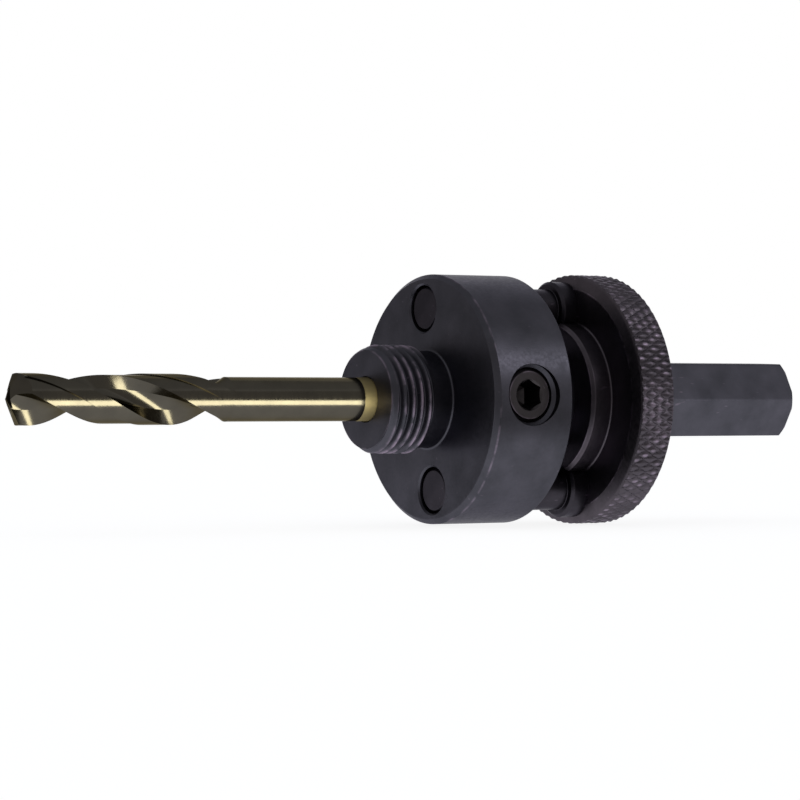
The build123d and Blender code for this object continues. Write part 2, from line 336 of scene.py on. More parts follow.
def make_piece(name, sheets):
    """A mesh of one or more grids of points in millimetres, welded where their edges meet."""
    vertices, faces, count = [], [], 0
    for sheet in sheets:
        rows, columns = sheet.shape[:2]
        index = np.arange(rows * columns).reshape(rows, columns) + count
        faces.append(np.stack(
            [index[:-1, :-1], index[:-1, 1:], index[1:, 1:], index[1:, :-1]], axis=-1
        ).reshape(-1, 4))
        vertices.append(sheet.reshape(-1, 3))
        count += rows * columns
    mesh = bpy.data.meshes.new(name)
    mesh.from_pydata(np.concatenate(vertices) * MM, [], np.concatenate(faces))
    work = bmesh.new()
    work.from_mesh(mesh)
    bmesh.ops.remove_doubles(work, verts=work.verts, dist=WELD)
    bmesh.ops.recalc_face_normals(work, faces=work.faces)
    work.to_mesh(mesh)
    work.free()
    piece = bpy.data.objects.new(name, mesh)
    bpy.context.scene.collection.objects.link(piece)
    return piece


def carve(piece, tool, operation="DIFFERENCE"):
    """Cuts a tool out of a piece, or keeps only what lies inside it, and removes the tool."""
    change = piece.modifiers.new("carve", "BOOLEAN")
    change.operation = operation
    change.solver = "EXACT"
    change.object = tool
    bpy.context.view_layer.update()
    graph = bpy.context.evaluated_depsgraph_get()
    shaped = bpy.data.meshes.new_from_object(piece.evaluated_get(graph))
    piece.modifiers.clear()
    work = bmesh.new()
    work.from_mesh(shaped)
    bmesh.ops.remove_doubles(work, verts=work.verts, dist=WELD)
    bmesh.ops.dissolve_degenerate(work, edges=work.edges, dist=WELD)
    work.to_mesh(shaped)
    work.free()
    rough = piece.data
    piece.data = shaped
    bpy.data.meshes.remove(rough)
    bpy.data.objects.remove(tool)


def smooth(piece):
    """Shades a piece smooth, apart from its sharp edges."""
    piece.data.polygons.foreach_set("use_smooth", np.ones(len(piece.data.polygons), bool))
    piece.data.set_sharp_from_angle(angle=SHARP_ANGLE)


def hexagon_radius(angle, flat, rounding):
    """The radius of a hexagon with rounded corners at an angle from a corner.

    Along a flat it is flat / cos of the angle from the flat's middle. Round a corner it is the
    far side of the corner's circle, whose centre lies on the corner's own direction.
    """
    from_corner = np.abs((angle + math.pi / 6) % (math.pi / 3) - math.pi / 6)
    centre = (flat - rounding) / math.cos(math.pi / 6)
    touch = math.atan2(rounding / 2, centre + rounding * math.cos(math.pi / 6))
    straight = flat / np.cos(math.pi / 6 - from_corner)
    inside = np.maximum(rounding**2 - (centre * np.sin(from_corner)) ** 2, 0)
    return np.where(from_corner < touch, centre * np.cos(from_corner) + np.sqrt(inside), straight)


def pin_centre(angle):
    """The centre of a pin's circle in the plane of the flange's front face."""
    return 0, PIN_CIRCLE_RADIUS * math.cos(angle), PIN_CIRCLE_RADIUS * math.sin(angle)


def screw_direction():
    """The direction in which the set screw comes out of the flange's rim."""
    return 0, -math.cos(SCREW_TURN), math.sin(SCREW_TURN)


def along_screw(points):
    """Points whose X is the distance from the arbor's axis along the set screw."""
    return placed(points, (SCREW_POSITION, 0, 0), screw_direction(), (1, 0, 0))


def arbor_piece():
    """The arbor's body in one skin: bore, threaded nose, flange, neck and hexagonal shank.

    The thread stays inside the nose's chamfer: radius = the face's radius + the distance from the
    nose's front * the chamfer's slope, and the crest's radius at most.
    """
    nose_front = -NOSE_LENGTH
    thread_end = -RELIEF_LENGTH

    def nose_envelope(along):
        rise = (THREAD_RADIUS - NOSE_FACE_RADIUS) / NOSE_CHAMFER_LENGTH
        return np.minimum(NOSE_FACE_RADIUS + (along - nose_front) * rise, THREAD_RADIUS)

    bore = turned([
        (BORE_END + BORE_POINT, 0),
        (BORE_END, BORE_RADIUS),
        (nose_front + BORE_MOUTH, BORE_RADIUS),
        (nose_front, BORE_RADIUS + BORE_MOUTH),
        (nose_front, THREAD_ROOT_RADIUS - EDGE_HOLD),
    ])
    thread = threaded(
        nose_front, thread_end, THREAD_PITCH, THREAD_RADIUS, THREAD_ROOT_RADIUS, nose_envelope
    )
    face = np.stack([bore[-1], thread[0]])
    body = turned(rounded([
        (thread_end, RELIEF_RADIUS, 0),
        (0, RELIEF_RADIUS, RELIEF_FILLET),
        (0, FLANGE_RADIUS - FLANGE_FRONT_CHAMFER, EDGE_RADIUS),
        (FLANGE_FRONT_CHAMFER, FLANGE_RADIUS, EDGE_RADIUS),
        (FLANGE_THICKNESS - FLANGE_REAR_CHAMFER, FLANGE_RADIUS, EDGE_RADIUS),
        (FLANGE_THICKNESS, FLANGE_RADIUS - FLANGE_REAR_CHAMFER, EDGE_RADIUS),
        (FLANGE_THICKNESS, NECK_RADIUS, EDGE_RADIUS),
        (SNAP_GROOVE_START, NECK_RADIUS, 0),
        (SNAP_GROOVE_START, SNAP_GROOVE_RADIUS, 0),
        (SNAP_GROOVE_END, SNAP_GROOVE_RADIUS, 0),
        (SNAP_GROOVE_END, NECK_RADIUS, 0),
        (NECK_END - NECK_CHAMFER, NECK_RADIUS, EDGE_RADIUS),
        (NECK_END, NECK_RADIUS - NECK_CHAMFER, 0),
    ]))
    step = np.stack([thread[-1], body[0]])
    shank = hexagonal_shank(body[-1])
    return make_piece("blackened_arbor", [bore, face, thread, step, body, *shank])


def hexagonal_shank(neck_edge):
    """The shank's skin, from the neck's edge to the middle of its end.

    Rows run along the hexagon to the cone that chamfers its corners: x = end - (radius - end
    radius) * tan of the chamfer's angle.
    """
    corner = hexagon_radius(ROUND - HEX_TURN, HEX_FLAT_RADIUS, HEX_CORNER_ROUNDING)
    cut = np.maximum(corner - SHANK_END_RADIUS, 0)
    chamfer_start = SHANK_END - cut * math.tan(SHANK_CHAMFER_ANGLE)
    end_radius = np.minimum(corner, SHANK_END_RADIUS)
    start = NECK_END + 0 * corner
    rows = [(start, corner)]
    for share in np.linspace(0, 1, SHANK_ROWS):
        rows.append((start + EDGE_HOLD + (chamfer_start - start - 2 * EDGE_HOLD) * share, corner))
    rows += [
        (chamfer_start, corner),
        (SHANK_END - EDGE_HOLD * (SHANK_END - chamfer_start > EDGE_HOLD) * 0.5, end_radius),
        (SHANK_END + 0 * corner, end_radius - EDGE_HOLD / 2),
        (SHANK_END + 0 * corner, end_radius - EDGE_HOLD * 2),
        (SHANK_END + 0 * corner, 0 * corner),
    ]
    shank = np.stack([polar(along, radius, ROUND) for along, radius in rows])
    return np.stack([neck_edge, shank[0]]), shank


def hole_tools():
    """What is cut out of the arbor's flange: two chamfered pin holes and the set screw's hole."""
    pin_hole = turned([
        (-BEYOND, 0),
        (-BEYOND, PIN_HOLE_RADIUS + PIN_HOLE_CHAMFER + BEYOND),
        (PIN_HOLE_CHAMFER, PIN_HOLE_RADIUS),
        (FLANGE_THICKNESS - PIN_HOLE_CHAMFER, PIN_HOLE_RADIUS),
        (FLANGE_THICKNESS + BEYOND, PIN_HOLE_RADIUS + PIN_HOLE_CHAMFER + BEYOND),
        (FLANGE_THICKNESS + BEYOND, 0),
    ])[:, ::2]
    mouth_floor = FLANGE_RADIUS - SCREW_MOUTH_DEPTH
    screw_hole = turned([
        (0, 0),
        (0, SCREW_HOLE_RADIUS),
        (mouth_floor - (SCREW_MOUTH_RADIUS - SCREW_HOLE_RADIUS), SCREW_HOLE_RADIUS),
        (mouth_floor, SCREW_MOUTH_RADIUS),
        (FLANGE_RADIUS + BEYOND, SCREW_MOUTH_RADIUS),
        (FLANGE_RADIUS + BEYOND, 0),
    ])[:, ::2]
    holes = [pin_hole + np.array(pin_centre(PIN_ANGLE + turn)) for turn in (0, math.pi)]
    return make_piece("hole_tools", [*holes, along_screw(screw_hole)])


def ring_piece():
    """The pin ring: a turned ring, knurled where its rim is widest, with seats for two pins.

    The rim's two slopes are carried on to the blank's radius, and the knurled bar sets the radius
    of the rim.
    """
    spare = RING_BLANK_RADIUS - RING_RADIUS
    front_reach = RING_CREST_RISE * (1 + spare / (RING_RADIUS - RING_SHOULDER_RADIUS))
    rear_reach = RING_REAR_CHAMFER * (1 + spare / (RING_RADIUS - RING_REAR_FACE_RADIUS))
    outline = rounded([
        (BOSS_FRONT, RING_BORE_RADIUS, 0),
        (BOSS_FRONT, BOSS_RADIUS - BOSS_CHAMFER, EDGE_RADIUS),
        (BOSS_FRONT + BOSS_CHAMFER, BOSS_RADIUS, EDGE_RADIUS),
        (RING_FACE, BOSS_RADIUS, BOSS_FILLET),
        (RING_FACE, RING_FACE_RADIUS, EDGE_RADIUS),
        (RING_FACE + RING_FRONT_CHAMFER, RING_SHOULDER_RADIUS, 0),
        (RING_FACE + RING_FRONT_CHAMFER + front_reach, RING_BLANK_RADIUS, 0),
        (RING_BACK - rear_reach, RING_BLANK_RADIUS, 0),
        (RING_BACK, RING_REAR_FACE_RADIUS, EDGE_RADIUS),
        (RING_BACK, RING_BORE_RADIUS + RING_BORE_CHAMFER, 0),
        (RING_BACK - RING_BORE_CHAMFER, RING_BORE_RADIUS, 0),
        (GRIP_GROOVE_END, RING_BORE_RADIUS, 0),
        (GRIP_GROOVE_END, GRIP_GROOVE_RADIUS, 0),
        (GRIP_GROOVE_START, GRIP_GROOVE_RADIUS, 0),
        (GRIP_GROOVE_START, RING_BORE_RADIUS, 0),
        (BOSS_FRONT, RING_BORE_RADIUS, 0),
    ])
    ring = make_piece("knurled_pin_ring", [turned(outline)])
    carve(ring, knurled_bar(), "INTERSECT")
    seat = turned([
        (BOSS_FRONT - BEYOND, 0),
        (BOSS_FRONT - BEYOND, PIN_SEAT_RADIUS),
        (RING_FACE, PIN_SEAT_RADIUS),
        (RING_FACE, PIN_TAIL_HOLE_RADIUS),
        (RING_BACK + BEYOND, PIN_TAIL_HOLE_RADIUS),
        (RING_BACK + BEYOND, 0),
    ])[:, ::2]
    seats = [seat + np.array(pin_centre(PIN_ANGLE + turn)) for turn in (0, math.pi)]
    carve(ring, make_piece("seat_tools", seats))
    smooth(ring)
    return ring


def knurled_bar():
    """A bar with the knurl all over it, wide enough to leave the ring's bore alone.

    In teeth round and pitches along, the grooves are the lines where round + along or round - along
    is a whole number. Between them stand low domes: height = |sin(pi * sum) * sin(pi * difference)|
    to a power below one, which makes them full and the grooves narrow. Each small square of the
    grid is split along the groove that crosses it. The whole is turned by a small share of a tooth,
    so that none of its corners falls on one of the blank's.
    """
    tooth = FULL_TURN / KNURL_TEETH
    pitch = tooth * RING_RADIUS / math.tan(KNURL_ANGLE)
    rows = math.ceil((KNURL_END - KNURL_START) / pitch * KNURL_STEPS)
    turn, place = np.meshgrid(
        np.arange(KNURL_TEETH * KNURL_STEPS + 1) / KNURL_STEPS, np.arange(rows + 1) / KNURL_STEPS
    )
    dome = np.abs(np.sin(math.pi * (turn + place)) * np.sin(math.pi * (turn - place)))
    radius = RING_RADIUS - KNURL_DEPTH * (1 - dome ** KNURL_FULLNESS)
    points = polar(KNURL_START + place * pitch, radius, (turn + KNURL_SHIFT) * tooth)
    front = np.stack(
        [points[0] * (0, share, share) + (BOSS_FRONT - BEYOND, 0, 0) for share in (0, 1)]
    )
    back = points[-1] * (1, 0, 0)
    sheets = [front, np.stack([front[-1], points[0]]), points, np.stack([points[-1], back])]
    bar = make_piece("knurled_bar", sheets)
    split_along_grooves(bar)
    return bar


def split_along_grooves(bar):
    """Splits each square of the knurl along its more level diagonal, or along the lower one."""
    work = bmesh.new()
    work.from_mesh(bar.data)
    for face in [face for face in work.faces if len(face.verts) == 4]:
        heights = [math.hypot(vertex.co.y, vertex.co.z) for vertex in face.verts]
        first = abs(heights[0] - heights[2]), heights[0] + heights[2]
        second = abs(heights[1] - heights[3]), heights[1] + heights[3]
        corners = (0, 2) if first < second else (1, 3)
        bmesh.utils.face_split(face, face.verts[corners[0]], face.verts[corners[1]])
    work.to_mesh(bar.data)
    work.free()


def pin_piece(name, angle):
    """One drive pin: shank, shoulder and tail, turned about its own axis."""
    outline = rounded([
        (PIN_FRONT, 0, 0),
        (PIN_FRONT, PIN_RADIUS - PIN_END_CHAMFER, EDGE_RADIUS / 2),
        (PIN_FRONT + PIN_END_CHAMFER, PIN_RADIUS, EDGE_RADIUS / 2),
        (PIN_SHOULDER_FRONT, PIN_RADIUS, EDGE_RADIUS),
        (PIN_SHOULDER_FRONT, PIN_SHOULDER_RADIUS - PIN_SHOULDER_CHAMFER, EDGE_RADIUS),
        (PIN_SHOULDER_FRONT + PIN_SHOULDER_CHAMFER, PIN_SHOULDER_RADIUS, EDGE_RADIUS),
        (RING_FACE, PIN_SHOULDER_RADIUS, 0),
        (RING_FACE, PIN_TAIL_RADIUS, 0),
        (PIN_TAIL_END - PIN_END_CHAMFER, PIN_TAIL_RADIUS, EDGE_RADIUS / 2),
        (PIN_TAIL_END, PIN_TAIL_RADIUS - PIN_END_CHAMFER, EDGE_RADIUS / 2),
        (PIN_TAIL_END, 0, 0),
    ])
    pin = make_piece(name, [turned(outline)[:, ::2] + np.array(pin_centre(angle))])
    smooth(pin)
    return pin


def screw_piece():
    """The set screw: cup point, thread and hexagonal socket, turned about its own axis.

    The thread stays inside the chamfers of both ends, whose radius grows as fast as the distance
    from the end.
    """
    thread_start = SCREW_TIP + SCREW_POINT_CHAMFER / 2
    thread_end = SCREW_FACE - SCREW_CHAMFER / 2

    def screw_envelope(along):
        point = SCREW_RADIUS - SCREW_POINT_CHAMFER + (along - SCREW_TIP)
        head = SCREW_RADIUS - SCREW_CHAMFER + (SCREW_FACE - along)
        return np.minimum(np.minimum(point, head), SCREW_RADIUS)

    thread = threaded(
        thread_start, thread_end, SCREW_PITCH, SCREW_RADIUS, SCREW_ROOT_RADIUS, screw_envelope
    )
    point = turned([
        (SCREW_TIP + SCREW_CUP_DEPTH, 0),
        (SCREW_TIP + SCREW_CUP_DEPTH, SCREW_CUP_RADIUS - SCREW_CUP_DEPTH),
        (SCREW_TIP, SCREW_CUP_RADIUS),
        (SCREW_TIP, SCREW_RADIUS - SCREW_POINT_CHAMFER),
    ])
    face_radius = SCREW_RADIUS - SCREW_CHAMFER
    head = turned([
        (SCREW_FACE, face_radius),
        (SCREW_FACE, face_radius - EDGE_HOLD),
        (SCREW_FACE, 0),
    ])
    shoulders = np.stack([point[-1], thread[0]]), np.stack([thread[-1], head[0]])
    sheets = [point, shoulders[0], thread, shoulders[1], head]
    screw = make_piece("socket_set_screw", [along_screw(sheet) for sheet in sheets])
    corner = hexagon_radius(ROUND - math.pi / 2, SOCKET_FLAT_RADIUS, 0)
    floor = SCREW_FACE - SOCKET_DEPTH
    mouth_radius = SOCKET_FLAT_RADIUS + SOCKET_CHAMFER
    socket = np.stack([
        polar(floor - SOCKET_FLAT_RADIUS / 2, 0 * corner, ROUND),
        polar(floor, corner, ROUND),
        polar(SCREW_FACE + corner - mouth_radius, corner, ROUND),
        polar(SCREW_FACE + BEYOND, 0 * corner + mouth_radius + BEYOND, ROUND),
        polar(SCREW_FACE + BEYOND, 0 * corner, ROUND),
    ])[:, ::2]
    carve(screw, make_piece("socket_tool", [along_screw(socket)]))
    smooth(screw)
    return screw


def flute_outline():
    """Angles and radii of the drill's section: a flute, its margin and its land, and all again.

    Angles start at the middle of a flute, which is the near side of a circle that touches the web
    and meets the body's edge: radius = c cos(a) - sqrt(R^2 - c^2 sin^2(a)). The margin lies at the
    body's radius, and the land at the clearance radius.
    """
    flute_points, margin_points, land_points = 41, 11, 15
    centre = (DRILL_BODY_RADIUS**2 - WEB_RADIUS**2) / (
        2 * DRILL_BODY_RADIUS * math.cos(FLUTE_HALF_ANGLE) - 2 * WEB_RADIUS
    )
    reach = centre - WEB_RADIUS
    edge_share = 1e-4
    flute = np.sin(np.linspace(-1, 1, flute_points) * math.pi / 2) * FLUTE_HALF_ANGLE
    depth = centre * np.cos(flute) - np.sqrt(reach**2 - (centre * np.sin(flute)) ** 2)
    across = np.linspace(edge_share, 1 - edge_share, margin_points)
    margin = FLUTE_HALF_ANGLE + across * MARGIN_ANGLE
    land = np.linspace(FLUTE_HALF_ANGLE + MARGIN_ANGLE, math.pi - FLUTE_HALF_ANGLE, land_points)
    angle = np.concatenate([flute, margin, land])
    radius = np.concatenate([
        depth, 0 * margin + DRILL_BODY_RADIUS, 0 * land + DRILL_CLEARANCE_RADIUS
    ])
    radius = np.minimum(radius, DRILL_BODY_RADIUS)
    return np.concatenate([angle, angle + math.pi, [angle[0] + FULL_TURN]]), np.append(
        np.tile(radius, 2), radius[0]
    )


def drill_piece():
    """The pilot drill: two helical flutes that run out into the shank, and a split point.

    The section turns along the helix: turn = start + distance from the tip / lead * a full turn.
    Its points lie inside the body's taper and outside the run-out of the flutes, an arc with the
    bend as its radius: radius = start radius + bend - sqrt(bend^2 - distance into the run-out^2).
    """
    angle, radius = flute_outline()
    along = np.linspace(DRILL_BLANK_START, FLUTES_END, FLUTE_ROWS)[:, None]
    twist = FLUTE_START_ANGLE + (along - DRILL_TIP) / FLUTE_LEAD * FULL_TURN
    taper = DRILL_SHANK_RADIUS + (DRILL_BODY_RADIUS - DRILL_SHANK_RADIUS) * np.clip(
        (FLUTES_END - along) / BODY_TAPER_LENGTH, 0, 1
    )
    rise = DRILL_SHANK_RADIUS - RUNOUT_START_RADIUS
    bend = (FLUTE_RUNOUT**2 + rise**2) / (2 * rise)
    into = np.clip(along - (FLUTES_END - FLUTE_RUNOUT), 0, FLUTE_RUNOUT)
    runout = RUNOUT_START_RADIUS + bend - np.sqrt(bend**2 - into**2)
    fluted = polar(along, np.maximum(np.minimum(radius, taper), runout), angle + twist)
    start = polar(DRILL_BLANK_START, 0 * angle, angle)
    shank = [
        (FLUTES_END + EDGE_HOLD, DRILL_SHANK_RADIUS),
        (DRILL_END - DRILL_END_CHAMFER, DRILL_SHANK_RADIUS),
        (DRILL_END, DRILL_SHANK_RADIUS - DRILL_END_CHAMFER),
        (DRILL_END, 0),
    ]
    end = np.stack([polar(place, size, angle + twist[-1]) for place, size in shank])
    sheets = [np.stack([start, fluted[0]]), fluted, np.stack([fluted[-1], end[0]]), end]
    drill = make_piece("twist_drill", sheets)
    grind_point(drill)
    smooth(drill)
    return drill


def grind_point(drill):
    """Grinds the drill's point: a lip and a heel facet on each side, then a notch to the web.

    A facet is a plane with the normal x + ahead * tan(relief) - along the lip * its slope. The
    heel's is steeper and crosses the axis ahead of the tip. A notch is a three-sided wedge.
    """
    lip_angle = FLUTE_START_ANGLE + FLUTE_HALF_ANGLE + LIP_LAG_ANGLE
    lip_slope = math.tan(math.pi / 2 - POINT_ANGLE / 2)
    work = bmesh.new()
    work.from_mesh(drill.data)
    for turn in (0, math.pi):
        along_lip = Vector((0, math.cos(lip_angle + turn), math.sin(lip_angle + turn)))
        ahead = along_lip.cross(Vector((1, 0, 0)))
        lip = Vector((1, 0, 0)) + ahead * math.tan(LIP_RELIEF_ANGLE) - along_lip * lip_slope
        heel = Vector((1, 0, 0)) + ahead * math.tan(HEEL_RELIEF_ANGLE) - along_lip * lip_slope / 2
        for normal, depth in ((lip, 0), (heel, HEEL_RELIEF_DEPTH)):
            cut = bmesh.ops.bisect_plane(
                work,
                geom=[*work.verts, *work.edges, *work.faces],
                plane_co=Vector((DRILL_TIP - depth, 0, 0)) * MM,
                plane_no=normal,
                clear_inner=True,
            )
            rim = [item for item in cut["geom_cut"] if isinstance(item, bmesh.types.BMEdge)]
            bmesh.ops.contextual_create(work, geom=[edge for edge in rim if edge.is_boundary])
    work.to_mesh(drill.data)
    work.free()
    for turn in (0, math.pi):
        direction = Vector((0, math.cos(lip_angle + turn), math.sin(lip_angle + turn)))
        ahead = direction.cross(Vector((1, 0, 0)))
        origin = Vector((DRILL_TIP, 0, 0)) + direction * NOTCH_REACH + ahead * SPLIT_WEB / 2
        wedge = [
            (0, 0, -NOTCH_DEPTH),
            (0, 0, NOTCH_DEPTH),
            (0, 2 * NOTCH_DEPTH / math.tan(NOTCH_ANGLE), -NOTCH_DEPTH),
            (0, 0, -NOTCH_DEPTH),
        ]
        near = np.array(wedge, float)
        far = near + np.array([NOTCH_REACH + DRILL_BODY_RADIUS, 0, 0])
        middles = [np.repeat(side[:3].mean(axis=0)[None], 4, axis=0) for side in (near, far)]
        tool = np.stack([middles[0], near, far, middles[1]])
        axes = np.array([-direction, ahead, Vector((1, 0, 0))])
        carve(drill, make_piece("notch_tool", [tool @ axes + np.array(origin)]))


def finish(piece, body, slot, material, *replaced):
    """Gives a piece its material and says what it rides on and which solids it stands for."""
    piece.data.materials.clear()
    piece.data.materials.append(material)
    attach(piece, body)
    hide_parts(*replaced)


def linear(hex_colour):
    """A colour written as an sRGB hex value, as linear red, green, blue and alpha."""
    shares = [int(hex_colour[i:i + 2], 16) / 255 for i in (1, 3, 5)]
    light = [
        share / 12.92 if share <= 0.04045 else ((share + 0.055) / 1.055) ** 2.4
        for share in shares
    ]
    return *light, 1


def add_node(tree, kind, inputs=None, **settings):
    """Adds a node with its settings, and sets its inputs or links them.

    An input is a value, another node's output, or a node, which stands for its first output in use.
    """
    made = tree.nodes.new(kind)
    for name, value in settings.items():
        setattr(made, name, value)
    for socket, value in (inputs or {}).items():
        if isinstance(value, bpy.types.Node):
            value = next(output for output in value.outputs if output.enabled)
        if isinstance(value, bpy.types.NodeSocket):
            tree.links.new(value, made.inputs[socket])
        else:
            made.inputs[socket].default_value = value
    return made


def new_material(name):
    """A material without nodes, and its node tree."""
    material = bpy.data.materials.new(name)
    material.use_nodes = True
    material.node_tree.nodes.clear()
    return material, material.node_tree


def per_mm(size):
    """The scale of a pattern on coordinates in metres for features of a size in millimetres."""
    return 1 / (size * MM)


def blackened_steel(
    name, dark, pale, roughness, centre=(0, 0, 0), turn=(0, 0, 0), crest=None, edges=()
):
    """Steel turned or ground, then hot blackened and oiled.

    The eye sees a dark blue-purple grey with soft, broad highlights, faint clouds where the oxide
    took unevenly, and fine rings left by the tool, which follow x plus the radius. A paler lilac is
    painted in short stretches, as a painted highlight of glints together with wear of the oxide: on
    crests, which lie ahead of a place on the axis and between two radii, and on edges, each given
    as a place on the axis and a radius. In rare scuffs the same lilac is wear alone.
    """
    material, tree = new_material(name)
    place = add_node(
        tree,
        "ShaderNodeMapping",
        {
            "Vector": add_node(tree, "ShaderNodeTexCoord").outputs["Object"],
            "Location": Vector(centre) * MM,
            "Rotation": turn,
        },
        vector_type="TEXTURE",
    )
    along = add_node(tree, "ShaderNodeSeparateXYZ", {"Vector": place}).outputs["X"]
    flat = add_node(tree, "ShaderNodeVectorMath", {0: place, 1: (0, 1, 1)}, operation="MULTIPLY")
    radius = add_node(tree, "ShaderNodeVectorMath", {0: flat}, operation="LENGTH")
    clouds = add_node(
        tree, "ShaderNodeTexNoise", {"Vector": place, "Scale": per_mm(CLOUD_SIZE), "Detail": 4.0}
    )
    tone = add_node(
        tree, "ShaderNodeMapRange", {"Value": clouds, "From Min": 0.3, "From Max": 0.7}
    )
    colour = add_node(
        tree,
        "ShaderNodeMix",
        {"Factor": tone, "A": linear(dark), "B": linear(pale)},
        data_type="RGBA",
    )
    grain = add_node(
        tree, "ShaderNodeTexNoise", {"Vector": place, "Scale": per_mm(GRAIN_SIZE), "Detail": 2.0}
    )
    gloss = add_node(
        tree,
        "ShaderNodeMapRange",
        {
            "Value": grain,
            "From Min": 0.3,
            "From Max": 0.7,
            "To Min": roughness - 0.05,
            "To Max": roughness + 0.06,
        },
    )
    # Painted highlight: crests and edges get a paler lilac as glints of light, together with wear
    # of the oxide there.
    glint_and_wear = 0.0
    if crest:
        ahead = add_node(
            tree, "ShaderNodeMath", {0: along, 1: crest[0] * MM}, operation="LESS_THAN"
        )
        height = add_node(
            tree,
            "ShaderNodeMapRange",
            {"Value": radius, "From Min": crest[1] * MM, "From Max": crest[2] * MM},
        )
        glint_and_wear = add_node(tree, "ShaderNodeMath", {0: ahead, 1: height}, operation="MULTIPLY")
    section = add_node(tree, "ShaderNodeCombineXYZ", {"X": along, "Y": radius})
    for edge in edges:
        distance = add_node(
            tree,
            "ShaderNodeVectorMath",
            {0: section, 1: (edge[0] * MM, edge[1] * MM, 0)},
            operation="DISTANCE",
        )
        share = add_node(
            tree,
            "ShaderNodeMapRange",
            {
                "Value": distance,
                "From Min": EDGE_GLINT_AND_WEAR * MM,
                "From Max": 0.3 * EDGE_GLINT_AND_WEAR * MM,
                "To Max": 0.5,
            },
        )
        glint_and_wear = add_node(tree, "ShaderNodeMath", {0: share, 1: glint_and_wear}, operation="MAXIMUM")
    glint_and_wear_breakup = add_node(
        tree,
        "ShaderNodeTexNoise",
        {"Vector": place, "Scale": per_mm(GLINT_AND_WEAR_PATCH_SIZE), "Detail": 5.0},
    )
    patches = add_node(
        tree, "ShaderNodeMapRange", {"Value": glint_and_wear_breakup, "From Min": 0.42, "From Max": 0.62}
    )
    glint_and_wear = add_node(tree, "ShaderNodeMath", {0: patches, 1: glint_and_wear}, operation="MULTIPLY")
    # Scuffs are wear alone.
    stretched = add_node(
        tree,
        "ShaderNodeVectorMath",
        {0: place, 1: (per_mm(SCUFF_LENGTH), per_mm(SCUFF_WIDTH), per_mm(SCUFF_WIDTH))},
        operation="MULTIPLY",
    )
    marks = add_node(
        tree, "ShaderNodeTexNoise", {"Vector": stretched, "Scale": 1.0, "Detail": 1.0}
    )
    scuffs = add_node(
        tree,
        "ShaderNodeMapRange",
        {"Value": marks, "From Min": 0.74, "From Max": 0.86, "To Max": 0.5},
    )
    glint_and_wear = add_node(tree, "ShaderNodeMath", {0: glint_and_wear, 1: scuffs}, operation="MAXIMUM")
    # The lilac is a painted glint with wear on crests and edges, and wear alone in scuffs.
    colour = add_node(
        tree,
        "ShaderNodeMix",
        {"Factor": glint_and_wear, "A": colour, "B": linear("#95889A")},
        data_type="RGBA",
    )
    reach = add_node(tree, "ShaderNodeMath", {0: along, 1: radius}, operation="ADD")
    rings = add_node(
        tree,
        "ShaderNodeTexNoise",
        {"W": reach, "Scale": per_mm(TOOL_RING_WIDTH), "Detail": 3.0},
        noise_dimensions="1D",
    )
    relief = add_node(
        tree,
        "ShaderNodeBump",
        {"Height": rings, "Strength": 0.5, "Distance": TOOL_RING_DEPTH * MM},
    )
    shader = add_node(
        tree,
        "ShaderNodeBsdfPrincipled",
        {
            "Base Color": colour,
            "Metallic": 1.0,
            "Roughness": gloss,
            "Specular Tint": linear("#CCCBD0"),
            "Normal": relief,
        },
    )
    add_node(tree, "ShaderNodeOutputMaterial", {"Surface": shader})
    return material


def gold_drill_steel():
    """High-speed steel, ground and tempered to a gold oxide.

    The eye sees a dark, warm metal with sharp, bright straw highlights, olive in the shade, fine
    rings left by the grinding wheel, and a paler, duller gold band on the shank just ahead of
    the nose.
    """
    material, tree = new_material("gold_oxide_high_speed_steel")
    place = add_node(tree, "ShaderNodeTexCoord").outputs["Object"]
    clouds = add_node(
        tree, "ShaderNodeTexNoise", {"Vector": place, "Scale": per_mm(OXIDE_SIZE), "Detail": 3.0}
    )
    colour = add_node(
        tree,
        "ShaderNodeMix",
        {"Factor": clouds, "A": linear("#4C4943"), "B": linear("#5F5B52")},
        data_type="RGBA",
    )
    # A paler, duller gold band on the shank just ahead of the nose
    nose_band = add_node(
        tree,
        "ShaderNodeMapRange",
        {
            "Value": add_node(tree, "ShaderNodeSeparateXYZ", {"Vector": place}).outputs["X"],
            "From Min": NOSE_BAND_START * MM,
            "From Max": (NOSE_BAND_START + NOSE_BAND_FADE) * MM,
        },
    )
    colour = add_node(
        tree,
        "ShaderNodeMix",
        {"Factor": nose_band, "A": colour, "B": linear("#958A6A")},
        data_type="RGBA",
    )
    stretched = add_node(
        tree,
        "ShaderNodeVectorMath",
        {
            0: place,
            1: (per_mm(GRIND_RING_WIDTH), per_mm(GRIND_RING_LENGTH), per_mm(GRIND_RING_LENGTH)),
        },
        operation="MULTIPLY",
    )
    rings = add_node(
        tree, "ShaderNodeTexNoise", {"Vector": stretched, "Scale": 1.0, "Detail": 3.0}
    )
    gloss = add_node(tree, "ShaderNodeMapRange", {"Value": rings, "To Min": 0.1, "To Max": 0.24})
    gloss = add_node(tree, "ShaderNodeMix", {"Factor": nose_band, "A": gloss, "B": 0.6})
    relief = add_node(
        tree,
        "ShaderNodeBump",
        {"Height": rings, "Strength": 0.4, "Distance": GRIND_RING_DEPTH * MM},
    )
    shader = add_node(
        tree,
        "ShaderNodeBsdfPrincipled",
        {
            "Base Color": colour,
            "Metallic": 1.0,
            "Roughness": gloss,
            "Specular Tint": linear("#BDB8AC"),
            "Normal": relief,
        },
    )
    add_node(tree, "ShaderNodeOutputMaterial", {"Surface": shader})
    return material


